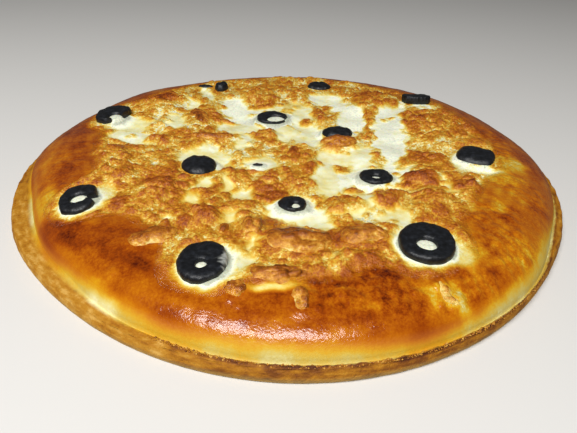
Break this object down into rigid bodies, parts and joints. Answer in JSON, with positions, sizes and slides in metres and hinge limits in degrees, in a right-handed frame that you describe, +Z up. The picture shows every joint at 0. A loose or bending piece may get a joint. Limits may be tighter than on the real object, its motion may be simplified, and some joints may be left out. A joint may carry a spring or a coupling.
{
  "type": "chicken fajita pizza",
  "caption": "Whole round baked pizza with a puffed glossy crust, browned cheese, olive slices, chicken strips and onion.",
  "frame": {"origin": "middle of the flat underside, on the surface that the pizza rests on", "axes": "+Z up, +X to the right of the person eating, +Y away from them"},
  "size_m": [0.2524, 0.2515, 0.0243],
  "materials": {
    "crust": "baked dough with an egg-washed glossy shoulder",
    "cheese": "melted cheese, browned in patches",
    "olive": "soft satin black",
    "chicken": "roasted, moist and fibrous",
    "onion": "soft cooked, translucent"
  },
  "bodies": {
    "root": {"crust": "crust", "cheese": "cheese", "chicken_back_left_strip": "chicken", "chicken_back_strip": "chicken", "chicken_front_curl": "chicken", "chicken_front_nub": "chicken", "chicken_front_oval": "chicken", "chicken_left_strip": "chicken", "chicken_over_olive": "chicken", "chicken_ridge_middle": "chicken", "chicken_ridge_right": "chicken", "chicken_round_lump": "chicken", "chicken_small_lump": "chicken", "olive_back_left": "olive", "olive_back_right": "olive", "olive_centre_back": "olive", "olive_centre_front": "olive", "olive_centre_right": "olive", "olive_chip": "olive", "olive_end_left": "olive", "olive_end_right": "olive", "olive_front_left": "olive", "olive_front_right": "olive", "olive_half_covered": "olive", "olive_left": "olive", "olive_left_rim": "olive", "olive_right_rim": "olive", "olive_sliver": "olive", "onion_strand": "onion"}
  },
  "joints": []
}
